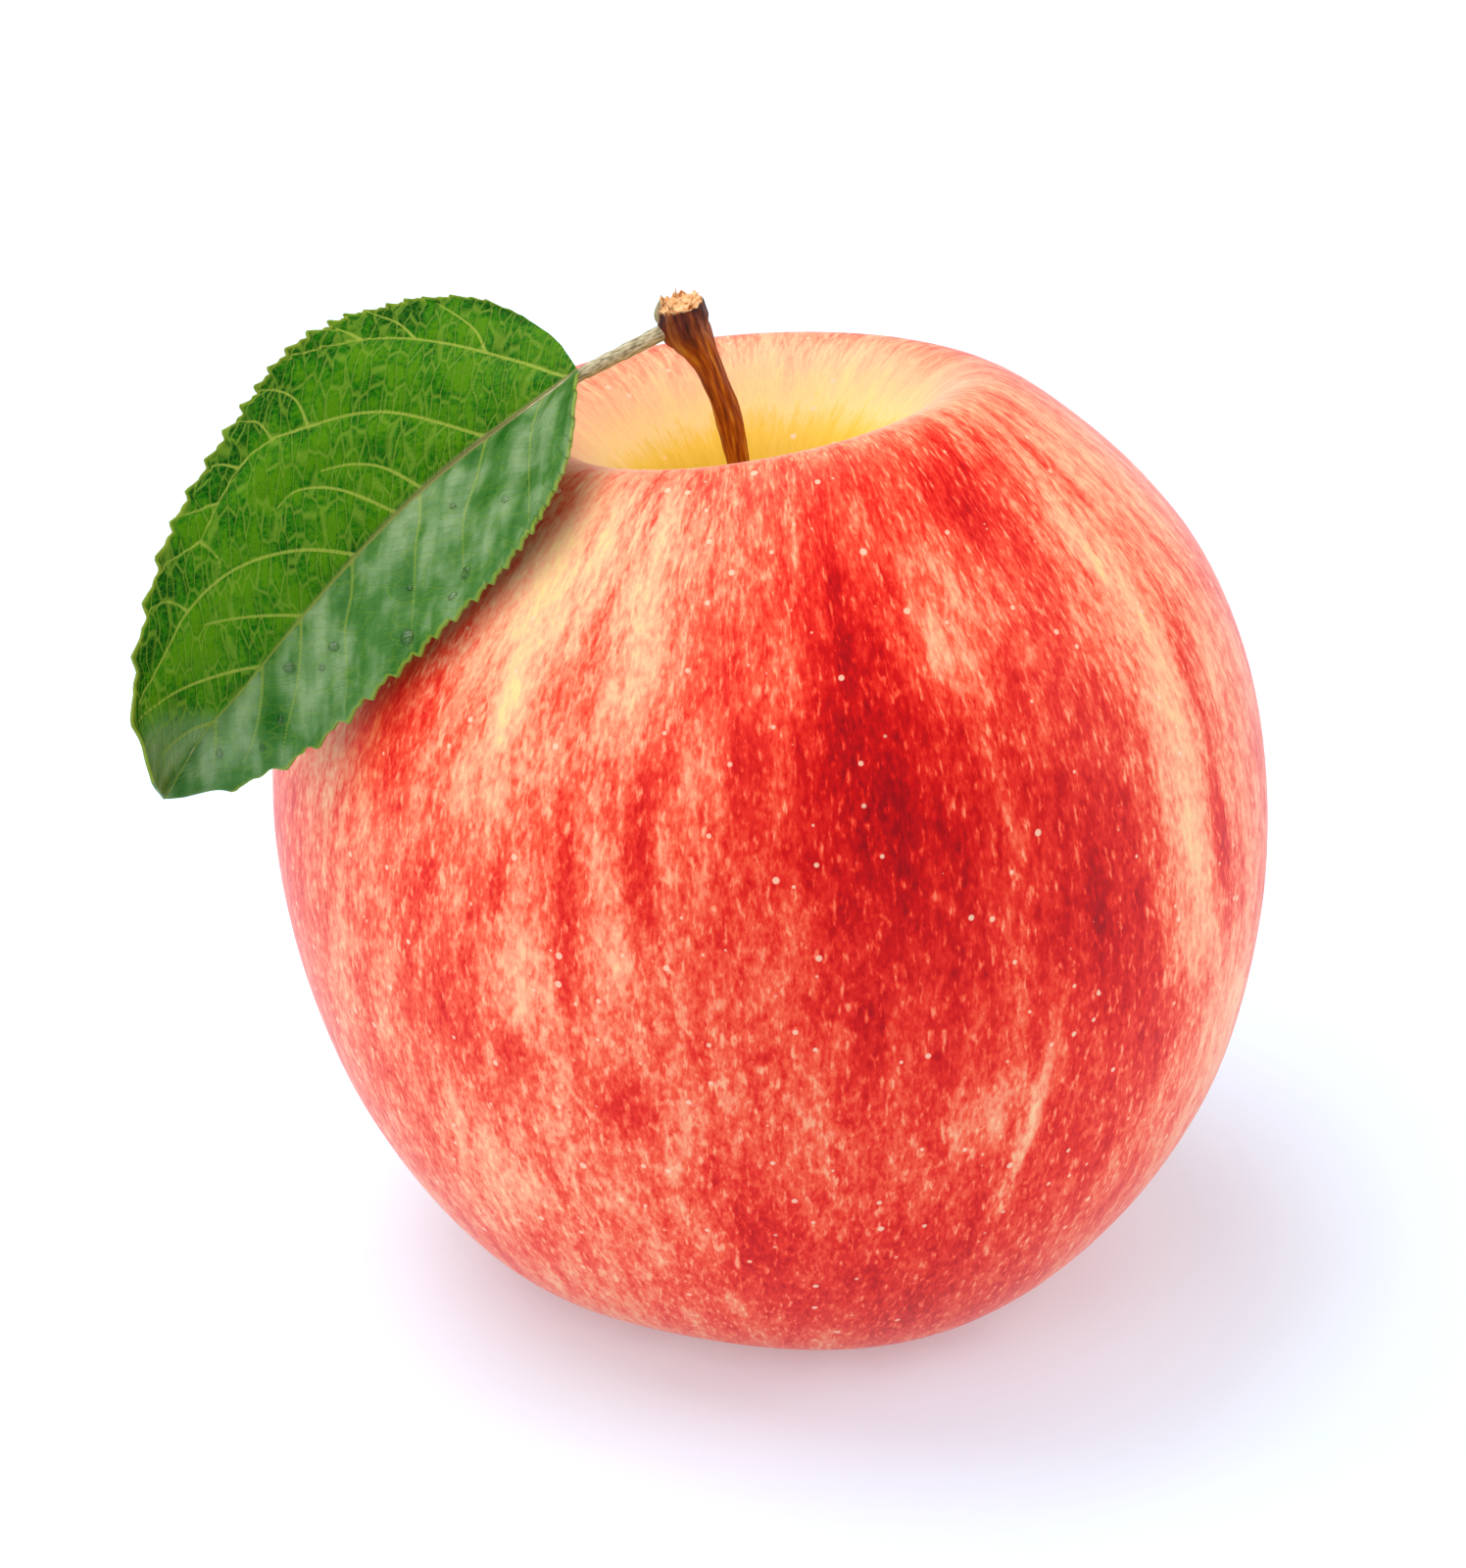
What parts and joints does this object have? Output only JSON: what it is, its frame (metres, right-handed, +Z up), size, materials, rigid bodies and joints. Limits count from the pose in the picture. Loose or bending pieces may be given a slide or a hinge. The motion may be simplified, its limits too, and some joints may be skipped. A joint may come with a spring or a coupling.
{
  "type": "apple",
  "caption": "Ripe red and yellow apple with its woody stem, a single toothed green leaf on a stalk, and a dried calyx in the basin underneath.",
  "frame": {"origin": "on the resting surface, under the middle of the bounding box, leaf included", "axes": "+Z up, away from the surface the apple stands on; +X towards the side opposite the leaf, which hangs over the -X side and a little towards -Y"},
  "size_m": [0.0871, 0.0806, 0.0795],
  "materials": {
    "apple_skin": "waxy apple skin, red over yellow, softly glossy",
    "stem_wood": "thin woody stem, matt brown bark",
    "leaf_green": "fresh green leaf, thin and flexible, faint sheen",
    "dried_calyx": "dried papery sepals and stamens, matt"
  },
  "bodies": {
    "root": {"fruit": "apple_skin", "stem": "stem_wood", "leaf": "leaf_green", "sepal_1": "dried_calyx", "sepal_2": "dried_calyx", "sepal_3": "dried_calyx", "sepal_4": "dried_calyx", "sepal_5": "dried_calyx", "stamen_tuft": "dried_calyx"}
  },
  "joints": []
}
